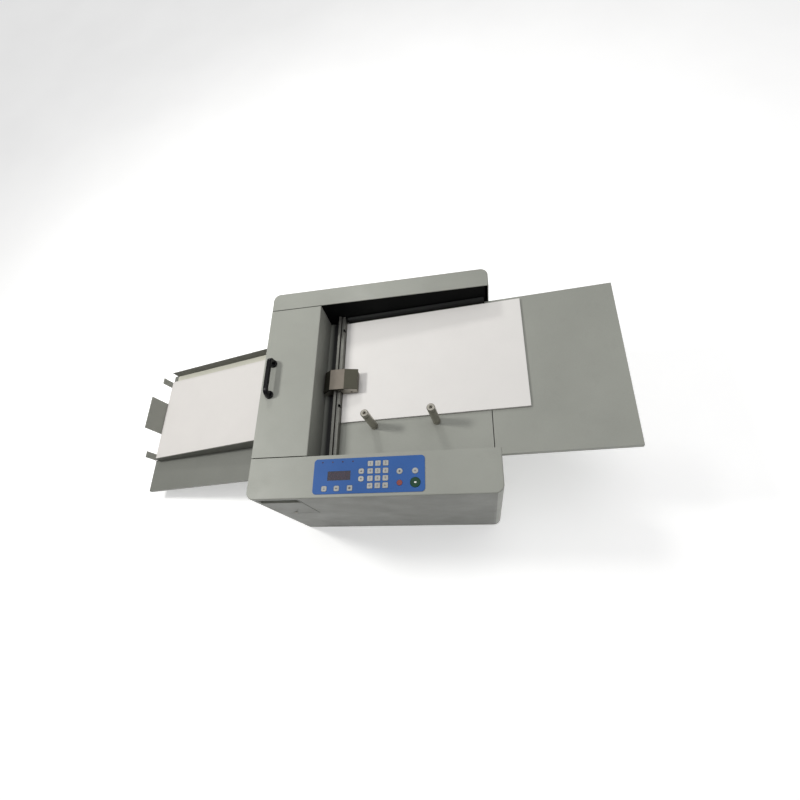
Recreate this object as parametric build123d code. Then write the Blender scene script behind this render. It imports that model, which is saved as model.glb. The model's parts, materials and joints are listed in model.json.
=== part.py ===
from build123d import *
from math import cos, radians, sin, tan
import os

# A tabletop sheet-fed franking machine. Millimetres, +X towards the feed table, +Y to the back,
# +Z up. The parts are drawn from the body's front left corner at floor level, and the finished
# set is moved so that the origin is the middle of its footprint.

# ---- driving dimensions ----
BODY_WIDTH = 540.0
BODY_DEPTH = 539.0
BODY_HEIGHT = 344.0
FOOT_HEIGHT = 10.0
SKIN = 2.0
CORNER_RADIUS = 18.0
EDGE_RADIUS = 2.5
CONSOLE_DEPTH = 92.0
CASING_DEPTH = 50.0
SEAM = 2.2
FRAME_PLATE = 4.0

COVER_WIDTH = 132.5
COVER_FACE_HEIGHT = 75.0
COVER_LIP_HEIGHT = 45.0
COVER_FLANGE = 24.0
HINGE_INSET = 10.0
HINGE_DROP = 12.0
PIN_RADIUS = 3.0

SHEET_LENGTH = 432.0
SHEET_WIDTH = 279.0
STACK_HEIGHT = 5.0

TABLE_START = 177.0
TABLE_DROP = 79.0
TABLE_PITCH = 3.54
TABLE_END = 810.0
TABLE_SEAM = 529.0
TABLE_GAP = 4.0
TABLE_JOINT = 1.6
FOLD = 12.0
GUIDE_START = 6.0
STACK_START = 179.0
STACK_FRONT = 198.5

TRAY_DROP = 191.0
TRAY_PITCH = 12.27
TRAY_LENGTH = 510.0
TRAY_FRONT = 108.0
TRAY_REAR = 508.0
RAIL_FOOT = 22.0
FRONT_RAIL = 203.0
FRONT_RAIL_HEIGHTS = (24.5, 46.5)
REAR_RAIL = 504.0
REAR_RAIL_HEIGHTS = (26.5, 28.0)

DRUM_RADIUS = 24.0
ROLLER_RADIUS = 20.0
PRESSURE_RADIUS = 8.0
DRUM_X = 36.0
TRANSPORT_X = 86.0
FEED_X = 200.0
MOTOR_X = 140.0
MOTOR_Z = 130.0
NIP_GAP = 0.3
RUNNING = 0.05
PULLEY_RATIO = 0.6
BELT_THICKNESS = 2.0

OVERLAY_THICKNESS = 1.0
KEY_RISE = 0.6
KEY_TRAVEL = 0.6
KEY_SIZE = 11.5

# ---- places that follow from them ----
TOP = BODY_HEIGHT + FOOT_HEIGHT
CASING_FRONT = BODY_DEPTH - CASING_DEPTH
FRONT_FRAME = CONSOLE_DEPTH - SEAM - FRAME_PLATE
REAR_FRAME = CASING_FRONT + 0.5
CHANNEL_FRONT = FRONT_FRAME + FRAME_PLATE
TABLE_FRONT = CONSOLE_DEPTH + TABLE_GAP
TABLE_REAR = CASING_FRONT - 2.0
TABLE_SLOPE = tan(radians(TABLE_PITCH))
TRAY_SLOPE = tan(radians(TRAY_PITCH))
HINGE_X = COVER_WIDTH - HINGE_INSET
HINGE_Z = TOP - HINGE_DROP
SHAFT_FRONT = FRONT_FRAME - 4.0
SHAFT_REAR = REAR_FRAME + FRAME_PLATE + 3.5
PULLEY_FRONT = REAR_FRAME + FRAME_PLATE + 6.5
PULLEY_WIDTH = 12.0
PULLEY_FLANGE = 1.5
TYRE_SPANS = [(125.0, 175.0), (265.0, 315.0), (405.0, 455.0)]
FEED_SPAN = (262.0, 340.0)
DRUM_SPAN = (110.0, 470.0)


def table_z(x):
    """Height of the paper path, which is also the top of the feed table."""
    return TOP - TABLE_DROP + TABLE_SLOPE * (x - TABLE_START)


def tray_z(x):
    """Height of the delivery tray's top surface."""
    return TOP - TRAY_DROP + TRAY_SLOPE * x


TABLE_FRAME = Pos(TABLE_START, 0, TOP - TABLE_DROP) * Rot(0, -TABLE_PITCH, 0)
TRAY_FRAME = Pos(0, 0, TOP - TRAY_DROP) * Rot(0, -TRAY_PITCH, 0)


def along_table(x):
    """Distance up the table's slope from its left edge to the place x."""
    return (x - TABLE_START) / cos(radians(TABLE_PITCH))


def along_tray(x):
    """Distance along the tray's slope from the body to the place x."""
    return x / cos(radians(TRAY_PITCH))


# ---- small helpers ----
def block(x_span, y_span, z_span):
    """Box between two places on each axis."""
    size = [high - low for low, high in (x_span, y_span, z_span)]
    middle = [(low + high) / 2 for low, high in (x_span, y_span, z_span)]
    return Pos(*middle) * Box(*size)


def around(x, z, half, y_span):
    """Box round a place in X and Z, by its half width and half height."""
    return block((x - half[0], x + half[0]), y_span, (z - half[1], z + half[1]))


def rod_y(x, z, y_span, radius):
    """Round bar along Y."""
    low, high = y_span
    return Pos(x, (low + high) / 2, z) * Rot(90, 0, 0) * Cylinder(radius, high - low)


def prism_y(points, y_span):
    """Outline in X and Z, carried along Y."""
    low, high = y_span
    outline = Plane.XZ * make_face(Polyline(*points, close=True))
    return Pos(0, high, 0) * extrude(outline, amount=high - low)


def group(solids):
    """Several separate solids in one node."""
    return Compound(list(solids))


def casing_shell(y_open, y_closed):
    """Folded box, open at the bottom and on one long side, with two rounded upright corners."""
    low, high = sorted((y_open, y_closed))
    outer = block((0, BODY_WIDTH), (low, high), (FOOT_HEIGHT, TOP))
    corners = outer.edges().filter_by(Axis.Z).filter_by_position(Axis.Y, y_closed - 1, y_closed + 1)
    outer = fillet(corners, CORNER_RADIUS)
    rim = outer.faces().sort_by(Axis.Z)[-1].edges()
    outer = fillet([edge for edge in rim if abs(edge.center().Y - y_open) > 1], EDGE_RADIUS)
    inward = 1 if y_open > y_closed else -1
    wall = y_closed + inward * SKIN
    beyond = y_open + inward * 5
    low, high = sorted((wall, beyond))
    hollow = block((SKIN, BODY_WIDTH - SKIN), (low, high), (FOOT_HEIGHT - 5, TOP - SKIN))
    corners = hollow.edges().filter_by(Axis.Z).filter_by_position(Axis.Y, wall - 1, wall + 1)
    return outer - fillet(corners, CORNER_RADIUS - SKIN)


# ---- screws ----
SCREW_HEAD_RADIUS = 3.6
SCREW_HEAD_HEIGHT = 2.0
SCREW_SHANK_RADIUS = 1.9
SCREW_SHANK_LENGTH = 8.0
SCREW_ROUNDING = 0.9
RECESS_SIZE = (4.4, 0.8, 2.0)
FACING = {"left": (0, -90, 0), "right": (0, 90, 0), "front": (90, 0, 0), "back": (-90, 0, 0)}


def screw_frame(x, y, z, facing):
    """Frame whose +Z points out of the panel that the screw is in."""
    return Pos(x, y, z) * Rot(*FACING[facing])


def screw(place):
    """Pan-head screw with a cross recess."""
    head = Pos(0, 0, SCREW_HEAD_HEIGHT / 2) * Cylinder(SCREW_HEAD_RADIUS, SCREW_HEAD_HEIGHT)
    head = fillet(head.edges().group_by(Axis.Z)[-1], SCREW_ROUNDING)
    for turn in (0, 90):
        head -= Pos(0, 0, SCREW_HEAD_HEIGHT) * Rot(0, 0, turn) * Box(*RECESS_SIZE)
    shank = Pos(0, 0, -SCREW_SHANK_LENGTH / 2) * Cylinder(SCREW_SHANK_RADIUS, SCREW_SHANK_LENGTH)
    return place * (head + shank)


def screw_hole(place):
    """Clearance hole for a screw's shank."""
    return place * Cylinder(SCREW_SHANK_RADIUS + 0.15, 4 * SKIN)


END_SCREW_HEIGHTS = (60.0, 300.0)
END_SCREW_INSET = 40.0
CONSOLE_SCREWS = [
    screw_frame(x, CONSOLE_DEPTH / 2, z, facing)
    for x, facing in ((0, "left"), (BODY_WIDTH, "right"))
    for z in END_SCREW_HEIGHTS
]
CASING_SCREWS = [
    screw_frame(x, BODY_DEPTH, z, "back")
    for x in (END_SCREW_INSET, BODY_WIDTH - END_SCREW_INSET)
    for z in END_SCREW_HEIGHTS
]
PANEL_SCREW = screw_frame(62.0, 0, TOP - 133.0, "front")


def casing_screws():
    return group([screw(place) for place in CONSOLE_SCREWS + CASING_SCREWS + [PANEL_SCREW]])


# ---- body ----
PANEL_X = (20.0, 115.5)
PANEL_Z = (TOP - 143.0, TOP - 9.0)
PANEL_STEP = TOP - 36.0
PANEL_GAP = 0.8
PANEL_SIDE_GAP = 2.4
PANEL_LAP = 5.0
LAP_THICKNESS = 1.5
PULL_DEPTH = 11.0
OVERLAY_X = (152.0, 388.0)
OVERLAY_Y = (7.5, 83.5)
KEY_OPENING_MARGIN = 7.0
STUD_INSET = 9.0
STUD_RADIUS = 2.5
BOARD_DROP = 12.0
BOARD_THICKNESS = 1.6


def stud_places():
    """Centres of the four studs that hold the control board."""
    return [
        (x, y)
        for x in (OVERLAY_X[0] + 5, OVERLAY_X[1] - 5)
        for y in (OVERLAY_Y[0] + STUD_INSET, OVERLAY_Y[1] - STUD_INSET)
    ]


def console_shell():
    shell = casing_shell(CONSOLE_DEPTH, 0)
    margin = KEY_OPENING_MARGIN
    shell -= block(
        (OVERLAY_X[0] + 2 * margin, OVERLAY_X[1] - margin),
        (OVERLAY_Y[0] + margin / 2, OVERLAY_Y[1] - margin / 2),
        (TOP - 2 * SKIN, TOP + 1),
    )
    shell -= block(
        (PANEL_X[0] - PANEL_GAP, PANEL_X[1] + PANEL_SIDE_GAP),
        (-1, SKIN + 1),
        (PANEL_Z[0] - PANEL_GAP, PANEL_Z[1] + PANEL_GAP),
    )
    for place in CONSOLE_SCREWS:
        shell -= screw_hole(place)
    for x, y in stud_places():
        stud = Cylinder(STUD_RADIUS, BOARD_DROP - SKIN)
        shell += Pos(x, y, TOP - (BOARD_DROP + SKIN) / 2) * stud
    return shell


def service_panel():
    """Access panel with a finger pull across its top and a lap behind the opening's edge."""
    low, high = PANEL_Z
    panel = block(PANEL_X, (0, SKIN), (low, PANEL_STEP))
    lap_x = (PANEL_X[0], PANEL_X[1] + PANEL_LAP)
    panel += block(lap_x, (SKIN, SKIN + LAP_THICKNESS), (low - PANEL_LAP, PANEL_STEP - SKIN))
    pull = block(PANEL_X, (0, PULL_DEPTH + SKIN), (PANEL_STEP - SKIN, high))
    pull -= block((PANEL_X[0] + SKIN, PANEL_X[1] - SKIN), (-1, PULL_DEPTH), (PANEL_STEP, high - SKIN))
    return panel + pull - screw_hole(PANEL_SCREW)


MODULE_X = 470.0
MODULE_Z = 86.0
MODULE_WIDTH = 27.0
MODULE_HEIGHT = 48.0
MODULE_FLANGE = 2.5
MODULE_RIM = 3.0
ROCKER_LIFT = 12.0
INLET_DROP = 11.0
ROCKER_TILT = 7.0
ROCKER_SIZE = (13.6, 8.0, 18.0)
ROCKER_Y = BODY_DEPTH - 1.5
VENT_WIDTH = 3.0
VENT_HEIGHT = 46.0
VENT_PITCH = 9.0
VENT_COUNT = 12
VENT_Z = 90.0
BACK_VENTS_X = 120.0
SIDE_VENTS_Y = 240.0


def vents(x_first, y, z, along_x):
    """Row of upright slots through a panel, along X or along Y."""
    slots = []
    for index in range(VENT_COUNT):
        step = index * VENT_PITCH
        if along_x:
            slots.append(Pos(x_first + step, y, z) * Box(VENT_WIDTH, 4 * SKIN, VENT_HEIGHT))
        else:
            slots.append(Pos(x_first, y + step, z) * Box(4 * SKIN, VENT_WIDTH, VENT_HEIGHT))
    return slots


def rear_casing():
    shell = casing_shell(CASING_FRONT, BODY_DEPTH)
    shell -= Pos(MODULE_X, BODY_DEPTH, MODULE_Z) * Box(
        MODULE_WIDTH + 0.5, 4 * SKIN, MODULE_HEIGHT + 0.5
    )
    for slot in vents(BACK_VENTS_X, BODY_DEPTH, VENT_Z, True):
        shell -= slot
    for place in CASING_SCREWS:
        shell -= screw_hole(place)
    return shell


def base_pan():
    clear = 1.0
    floor_z = (FOOT_HEIGHT, FOOT_HEIGHT + SKIN)
    inner_x = (SKIN + clear, BODY_WIDTH - SKIN - clear)
    floor = block(inner_x, (SKIN + clear, BODY_DEPTH - SKIN - clear), floor_z)
    floor = fillet(floor.edges().filter_by(Axis.Z), CORNER_RADIUS)
    side_y = (CONSOLE_DEPTH + 0.5, CASING_FRONT - 0.5)
    pan = floor + block((0, BODY_WIDTH), side_y, floor_z)
    left_top = tray_z(0) - SKIN - 1
    pan += block((0, SKIN), side_y, (FOOT_HEIGHT, left_top))
    right_top = table_z(BODY_WIDTH) - SKIN - 1
    right_x = (BODY_WIDTH - SKIN, BODY_WIDTH)
    pan += block(right_x, side_y, (FOOT_HEIGHT, right_top - FOLD))
    pan += block(right_x, (TABLE_FRONT + 4, TABLE_REAR - 4), (FOOT_HEIGHT, right_top))
    for slot in vents(BODY_WIDTH, SIDE_VENTS_Y, VENT_Z, False):
        pan -= slot
    return pan


FOOT_RADIUS = 14.0
FOOT_INSET = 45.0


def foot_places():
    return [
        (x, y)
        for x in (FOOT_INSET, BODY_WIDTH - FOOT_INSET)
        for y in (FOOT_INSET, BODY_DEPTH - FOOT_INSET)
    ]


def rubber_feet():
    foot = Pos(0, 0, FOOT_HEIGHT / 2) * Cone(FOOT_RADIUS - 2, FOOT_RADIUS, FOOT_HEIGHT)
    return group([Pos(x, y, 0) * foot for x, y in foot_places()])


# ---- rollers: place, height above the path, working radius, spans, shaft radius, belt drive ----
class Roller:
    def __init__(self, x, side, radius, spans, shaft_radius, driven):
        self.x = x
        self.z = table_z(x) + side * (radius + NIP_GAP)
        self.radius = radius
        self.spans = spans
        self.shaft_radius = shaft_radius
        self.pulley_radius = radius * PULLEY_RATIO if driven else 0

    def solid(self):
        rear_end = PULLEY_FRONT + PULLEY_WIDTH if self.pulley_radius else SHAFT_REAR
        shape = rod_y(self.x, self.z, (SHAFT_FRONT, rear_end), self.shaft_radius)
        for span in self.spans:
            tyre = rod_y(self.x, self.z, span, self.radius)
            shape += chamfer(tyre.edges(), TYRE_CHAMFER)
        if self.pulley_radius:
            shape += pulley(self.x, self.z, self.pulley_radius)
        return shape


def pulley(x, z, radius):
    """Belt pulley with two flanges."""
    low, high = PULLEY_FRONT, PULLEY_FRONT + PULLEY_WIDTH
    wheel = rod_y(x, z, (low, high), radius)
    wheel += rod_y(x, z, (low, low + PULLEY_FLANGE), radius + PULLEY_RIM)
    wheel += rod_y(x, z, (high - PULLEY_FLANGE, high), radius + PULLEY_RIM)
    return wheel


TYRE_CHAMFER = 1.0
GROOVE_HALF = 4.0
GROOVE_DEPTH = 4.0
FEED = Roller(FEED_X, -1, ROLLER_RADIUS, [FEED_SPAN], 6.0, True)
TRANSPORT = Roller(TRANSPORT_X, -1, ROLLER_RADIUS, TYRE_SPANS, 6.0, True)
IMPRESSION = Roller(DRUM_X, -1, DRUM_RADIUS, [DRUM_SPAN], 8.0, True)
PRESSURE = Roller(TRANSPORT_X, 1, PRESSURE_RADIUS, TYRE_SPANS, 4.0, False)
DRUM = Roller(DRUM_X, 1, DRUM_RADIUS, [DRUM_SPAN], 8.0, False)
MOTOR_PULLEY_RADIUS = 9.6
MOTOR_SHAFT_RADIUS = 5.0
MOTOR_RADIUS = 38.0
MOTOR_LENGTH = 110.0
MOTOR_PLATE = 5.0
MOTOR_SHAFT_DEPTH = 30.0
MOTOR_HOLE_RADIUS = 9.0
PULLEY_RIM = 3.0


def imprint_drum():
    """Type cylinder with a clamping groove along its length."""
    floor = DRUM.z + DRUM_RADIUS - GROOVE_DEPTH
    groove_y = (DRUM_SPAN[0] - 1, DRUM_SPAN[1] + 1)
    groove_z = (floor, floor + 2 * GROOVE_DEPTH)
    return DRUM.solid() - block((DRUM.x - GROOVE_HALF, DRUM.x + GROOVE_HALF), groove_y, groove_z)


def motor_pulley():
    span = (REAR_FRAME - MOTOR_SHAFT_DEPTH, PULLEY_FRONT + PULLEY_WIDTH)
    shaft = rod_y(MOTOR_X, MOTOR_Z, span, MOTOR_SHAFT_RADIUS)
    return shaft + pulley(MOTOR_X, MOTOR_Z, MOTOR_PULLEY_RADIUS)


def drive_motor():
    body = rod_y(MOTOR_X, MOTOR_Z, (REAR_FRAME - MOTOR_LENGTH, REAR_FRAME), MOTOR_RADIUS)
    body = chamfer(body.edges(), 2)
    half = MOTOR_RADIUS + FRAME_PLATE
    plate = around(MOTOR_X, MOTOR_Z, (half, half), (REAR_FRAME - MOTOR_PLATE, REAR_FRAME))
    bore_y = (REAR_FRAME - MOTOR_SHAFT_DEPTH - 2, REAR_FRAME + 1)
    bore = rod_y(MOTOR_X, MOTOR_Z, bore_y, MOTOR_SHAFT_RADIUS + RUNNING)
    return body + plate - bore


def belt_loop(gap):
    """Face in X and Z inside a belt line that runs at the given gap round the pulleys."""
    wheels = [(roller.x, roller.z, roller.pulley_radius) for roller in (FEED, TRANSPORT, IMPRESSION)]
    wheels.append((MOTOR_X, MOTOR_Z, MOTOR_PULLEY_RADIUS))
    circles = [Pos(x, z) * Edge.make_circle(radius + gap) for x, z, radius in wheels]
    return Plane.XZ * make_hull(circles)


def timing_belt():
    low = PULLEY_FRONT + PULLEY_FLANGE + 0.5
    high = PULLEY_FRONT + PULLEY_WIDTH - PULLEY_FLANGE - 0.5
    ring = belt_loop(NIP_GAP + BELT_THICKNESS) - belt_loop(NIP_GAP)
    return Pos(0, high, 0) * extrude(ring, amount=high - low)


def side_frame(y_low):
    """Bearing plate with a hole for each shaft and hinge pin."""
    plate = block((8, BODY_WIDTH - 8), (y_low, y_low + FRAME_PLATE), (FOOT_HEIGHT + SKIN, TOP - 3))
    through = (y_low - 1, y_low + FRAME_PLATE + 1)
    for roller in (FEED, TRANSPORT, IMPRESSION, PRESSURE, DRUM):
        plate -= rod_y(roller.x, roller.z, through, roller.shaft_radius + RUNNING)
    plate -= rod_y(HINGE_X, HINGE_Z, through, PIN_RADIUS + RUNNING)
    return plate


def front_frame():
    return side_frame(FRONT_FRAME)


def rear_frame():
    through = (REAR_FRAME - 1, REAR_FRAME + FRAME_PLATE + 1)
    return side_frame(REAR_FRAME) - rod_y(MOTOR_X, MOTOR_Z, through, MOTOR_HOLE_RADIUS)


# ---- feed table ----
def table_plate(x_span):
    """Length of table with its front and rear edges folded down, in the table's own frame."""
    span = (along_table(x_span[0]), along_table(x_span[1]))
    plate = block(span, (TABLE_FRONT, TABLE_REAR), (-SKIN, 0))
    for y in (TABLE_FRONT, TABLE_REAR - SKIN):
        plate += block(span, (y, y + SKIN), (-FOLD, 0))
    return plate


WINDOW_SHARE = 0.6
WINDOW_MARGIN = 3.0


def feed_table():
    """Table from the tray side to the body's right side, with a window over each lower roller."""
    plate = table_plate((GUIDE_START, TABLE_SEAM - TABLE_JOINT / 2))
    for roller in (FEED, TRANSPORT, IMPRESSION):
        middle = along_table(roller.x)
        half = WINDOW_SHARE * roller.radius
        for low, high in roller.spans:
            window_y = (low - WINDOW_MARGIN, high + WINDOW_MARGIN)
            plate -= block((middle - half, middle + half), window_y, (-2 * SKIN, SKIN))
    return TABLE_FRAME * plate


GUSSET_SETBACK = 50.0
TABLE_GUSSET_REACH = 150.0
TABLE_GUSSET_DEPTHS = (75.0, 10.0)


def table_extension():
    """Overhanging end of the table, with two welded gussets against the body's side."""
    plate = table_plate((TABLE_SEAM + TABLE_JOINT / 2, TABLE_END))
    end = along_table(TABLE_END)
    plate += block((end - SKIN, end), (TABLE_FRONT, TABLE_REAR), (-FOLD, 0))
    shape = TABLE_FRAME * plate
    reach = BODY_WIDTH + TABLE_GUSSET_REACH
    points = [
        (BODY_WIDTH, table_z(BODY_WIDTH) - SKIN / 2),
        (reach, table_z(reach) - SKIN / 2),
        (reach, table_z(reach) - TABLE_GUSSET_DEPTHS[1]),
        (BODY_WIDTH, table_z(BODY_WIDTH) - TABLE_GUSSET_DEPTHS[0]),
    ]
    for y in (TABLE_FRONT + GUSSET_SETBACK, TABLE_REAR - GUSSET_SETBACK):
        shape += prism_y(points, (y, y + SKIN))
    return shape


FENCE_HEIGHT = 16.0
FENCE_START = 183.0
FENCE_FRONT = 482.5


def rear_fence():
    """Upright strip that squares the stack's far edge."""
    strip = block(
        (along_table(FENCE_START), along_table(TABLE_SEAM)),
        (FENCE_FRONT, REAR_FRAME - 0.1),
        (0, FENCE_HEIGHT),
    )
    return TABLE_FRAME * strip


BAR_X = (162.0, 169.0)
BAR_TOP = TOP - 53.0
BAR_HEIGHT = 12.0
GATE_X = (170.2, 178.0)
GATE_TOP = TOP - 58.0
GATE_LIFT = 2.0
NOTCH_PLACES = (236.0, 448.0)
NOTCH_SIZE = (3.6, 7.0, 9.0)


def feed_bar():
    """Cross bar that the separator slides on."""
    return block(BAR_X, (CHANNEL_FRONT, REAR_FRAME), (BAR_TOP - BAR_HEIGHT, BAR_TOP))


def gate_plate():
    """Gate that the stack's leading edge stands against, with two notches in its top edge."""
    low = table_z(GATE_X[1]) + GATE_LIFT
    plate = block(GATE_X, (CHANNEL_FRONT, REAR_FRAME), (low, GATE_TOP))
    depth, width, height = NOTCH_SIZE
    for y in NOTCH_PLACES:
        notch_x, notch_y = (GATE_X[1] - depth, GATE_X[1] + 1), (y - width / 2, y + width / 2)
        plate -= block(notch_x, notch_y, (GATE_TOP - height, GATE_TOP + 1))
    return plate


SEPARATOR_Y = (272.5, 326.5)
HOOD_LEFT = (136.0, TOP - 57.0)
HOOD_CREST = (154.5, 190.0)
HOOD_TOP = TOP - 43.0
HOOD_RIGHT = (222.0, TOP - 50.0)
HOOD_THICKNESS = 1.7
LIP_THICKNESS = 0.9
LIP_HEIGHT = 6.0
BLOCK_X = (138.5, 219.0)
BLOCK_FLOOR = TOP - 75.0
BAR_CLEARANCE = 0.3
STACK_CLEARANCE = 0.8
GATE_CLEARANCE = 2.0
CLAMP_PLACE = (204.0, TOP - 64.0)
CLAMP_RADIUS = 2.5
CLAMP_DEPTH = 8.0


def separator_hood():
    """Bent stainless cover: a flat crest between two slopes, with a lip along its front end."""
    ridge = [HOOD_LEFT, (HOOD_CREST[0], HOOD_TOP), (HOOD_CREST[1], HOOD_TOP), HOOD_RIGHT]
    under = [(x, z - HOOD_THICKNESS) for x, z in reversed(ridge)]
    lip = ridge[:3] + [(x, z - LIP_HEIGHT) for x, z in reversed(ridge[:3])]
    front = SEPARATOR_Y[0]
    return prism_y(ridge + under, SEPARATOR_Y) + prism_y(lip, (front, front + LIP_THICKNESS))


def hood_underside(x):
    """Height of the hood's underside at a place on one of its slopes or its crest."""
    if x < HOOD_CREST[0]:
        start, end = HOOD_LEFT, (HOOD_CREST[0], HOOD_TOP)
    else:
        start, end = (HOOD_CREST[1], HOOD_TOP), HOOD_RIGHT
    share = (x - start[0]) / (end[0] - start[0])
    return start[1] + share * (end[1] - start[1]) - HOOD_THICKNESS


def separator_block():
    """Block that hooks over the cross bar and hangs above the stack's leading edge."""
    crest = HOOD_TOP - HOOD_THICKNESS
    clear = BAR_CLEARANCE
    over_stack = STACK_HEIGHT + STACK_CLEARANCE
    channel_top = GATE_TOP + GATE_CLEARANCE
    leg = GATE_X[1] + GATE_CLEARANCE
    points = [
        (BLOCK_X[0], hood_underside(BLOCK_X[0])),
        (BLOCK_X[0], BLOCK_FLOOR),
        (BAR_X[0] - clear, BLOCK_FLOOR),
        (BAR_X[0] - clear, BAR_TOP + clear),
        (BAR_X[1] + clear, BAR_TOP + clear),
        (BAR_X[1] + clear, channel_top),
        (leg, channel_top),
        (leg, table_z(leg) + over_stack),
        (BLOCK_X[1], table_z(BLOCK_X[1]) + over_stack),
        (BLOCK_X[1], hood_underside(BLOCK_X[1])),
        (HOOD_CREST[1], crest),
        (HOOD_CREST[0], crest),
    ]
    front, back = SEPARATOR_Y[0] + 1, SEPARATOR_Y[1] - 1
    hole = rod_y(*CLAMP_PLACE, (front - 1, front + CLAMP_DEPTH), CLAMP_RADIUS)
    return prism_y(points, (front, back)) - hole


POST_RADIUS = 9.0
POST_HEIGHT = 77.0
POST_LIFT = 0.2
POST_BORE = 3.0
BORE_DEPTH = 7.0
DISH_DEPTH = 1.5
POST_GROOVES = (10.0, POST_HEIGHT - 11.0)
RING_WIDTH = 1.5
RING_DEPTH = 0.8
POST_CHAMFER = 1.2
POST_PLACES = {"left": (261.5, 184.5), "right": (407.5, 183.5)}


def guide_post(side):
    """Turned side guide that stands square to the table, with a dished end and two grooves."""
    x, y = POST_PLACES[side]
    post = Pos(0, 0, POST_HEIGHT / 2) * Cylinder(POST_RADIUS, POST_HEIGHT)
    post = chamfer(post.edges().group_by(Axis.Z)[-1], POST_CHAMFER)
    dish = Cone(POST_BORE - 1, POST_BORE + 3, 2 * DISH_DEPTH)
    post -= Pos(0, 0, POST_HEIGHT) * (dish + Cylinder(POST_BORE - 0.5, 2 * BORE_DEPTH))
    ring = Cylinder(POST_RADIUS + 1, RING_WIDTH) - Cylinder(POST_RADIUS - RING_DEPTH, RING_WIDTH)
    for height in POST_GROOVES:
        post -= Pos(0, 0, height) * ring
    return TABLE_FRAME * Pos(along_table(x), y, POST_LIFT) * post


def feed_stack():
    start = along_table(STACK_START)
    stack = block(
        (start, start + SHEET_LENGTH),
        (STACK_FRONT, STACK_FRONT + SHEET_WIDTH),
        (POST_LIFT, STACK_HEIGHT),
    )
    return TABLE_FRAME * stack


# ---- delivery tray, drawn in the tray's own frame ----
TRAY_END = along_tray(-TRAY_LENGTH)
STOP_THICKNESS = 2.0
STOP_FACE = TRAY_END + 1.0
FLAP_Y = (297.0, 405.0)
FLAP_HEIGHT = 64.0
FINGER_HEIGHT = 38.0
FINGER_WIDTH = 20.0
STOP_Y = (208.0, 485.0)
STOP_DROP = 9.0
TONGUE_PLACES = (240.0, 430.0)
TONGUE_LENGTH = 80.0
TONGUE_WIDTH = 22.0
TONGUE_Z = (-6.0, -4.0)
TRAY_FOLD = 10.0
TRAY_ROOT_DEPTH = 40.0
TRAY_GUSSET_PLACES = (160.0, 440.0)
TRAY_GUSSET_REACH = 190.0
TRAY_GUSSET_DEPTHS = (80.0, 12.0)
DELIVERED_FRONT = FRONT_RAIL + SKIN + 0.5


def delivery_tray():
    """Sloping plate with folded edges, a root flange and two welded gussets."""
    low = STOP_FACE + STOP_THICKNESS + 1
    plate = block((low, along_tray(-SKIN)), (TRAY_FRONT, TRAY_REAR), (-SKIN, 0))
    for y in (TRAY_FRONT, TRAY_REAR - SKIN):
        plate += block((low, along_tray(-3 * SKIN)), (y, y + SKIN), (-TRAY_FOLD, 0))
    shape = TRAY_FRAME * plate
    root_y = (TRAY_FRONT + SKIN, CASING_FRONT - SKIN)
    shape += block((-SKIN, 0), root_y, (tray_z(0) - TRAY_ROOT_DEPTH, tray_z(-SKIN)))
    reach = -TRAY_GUSSET_REACH
    points = [
        (-SKIN, tray_z(-SKIN) - SKIN / 2),
        (-SKIN, tray_z(0) - TRAY_GUSSET_DEPTHS[0]),
        (reach, tray_z(reach) - TRAY_GUSSET_DEPTHS[1]),
        (reach, tray_z(reach) - SKIN / 2),
    ]
    for y in TRAY_GUSSET_PLACES:
        shape += prism_y(points, (y, y + SKIN))
    return shape


RAIL_SPAN = (along_tray(-488.0), along_tray(-30.0))
RAIL_LIFT = 0.2
RAIL_THICKNESS = 1.5


def tray_rail(y_wall, heights, inward):
    """Angle rail: an upright wall, taller towards the body, and a flat foot towards the sheets."""
    low, high = RAIL_SPAN
    points = [(low, RAIL_LIFT), (high, RAIL_LIFT), (high, heights[1]), (low, heights[0])]
    wall = prism_y(points, (y_wall, y_wall + SKIN))
    foot_y = (y_wall, y_wall + RAIL_FOOT) if inward else (y_wall + SKIN - RAIL_FOOT, y_wall + SKIN)
    return TRAY_FRAME * (wall + block(RAIL_SPAN, foot_y, (RAIL_LIFT, RAIL_LIFT + RAIL_THICKNESS)))


def end_stop():
    """Bent stop with a tall middle flap, two fingers and two tongues under the tray."""
    face = (STOP_FACE, STOP_FACE + STOP_THICKNESS)
    stop = block(face, STOP_Y, (-STOP_DROP, 0))
    for y in (STOP_Y[0], STOP_Y[1] - FINGER_WIDTH):
        stop += block(face, (y, y + FINGER_WIDTH), (-STOP_DROP, FINGER_HEIGHT))
    stop += block(face, FLAP_Y, (-STOP_DROP, FLAP_HEIGHT))
    for y in TONGUE_PLACES:
        stop += block((STOP_FACE, STOP_FACE + TONGUE_LENGTH), (y, y + TONGUE_WIDTH), TONGUE_Z)
    return TRAY_FRAME * stop


def delivered_stack():
    start = STOP_FACE + STOP_THICKNESS + 1.0
    lift = RAIL_LIFT + RAIL_THICKNESS + 0.2
    stack = block(
        (start, start + SHEET_LENGTH),
        (DELIVERED_FRONT, DELIVERED_FRONT + SHEET_WIDTH),
        (lift, lift + STACK_HEIGHT / 2),
    )
    return TRAY_FRAME * stack


# ---- hinged head cover ----
COVER_Y = (CONSOLE_DEPTH + SEAM, CASING_FRONT - SEAM)
HANDLE_X = 24.0
HANDLE_WIDTH = 11.0
HANDLE_Y = (240.0, 339.0)
HANDLE_HEIGHT = 26.0
HANDLE_GRIP = 9.5
HANDLE_FOOT = 20.0
HANDLE_ROUNDING = 3.0
HANDLE_BENDS = (14.0, 9.0)
HANDLE_BASE = 5.0
HANDLE_OVERHANG = 2.0


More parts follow.
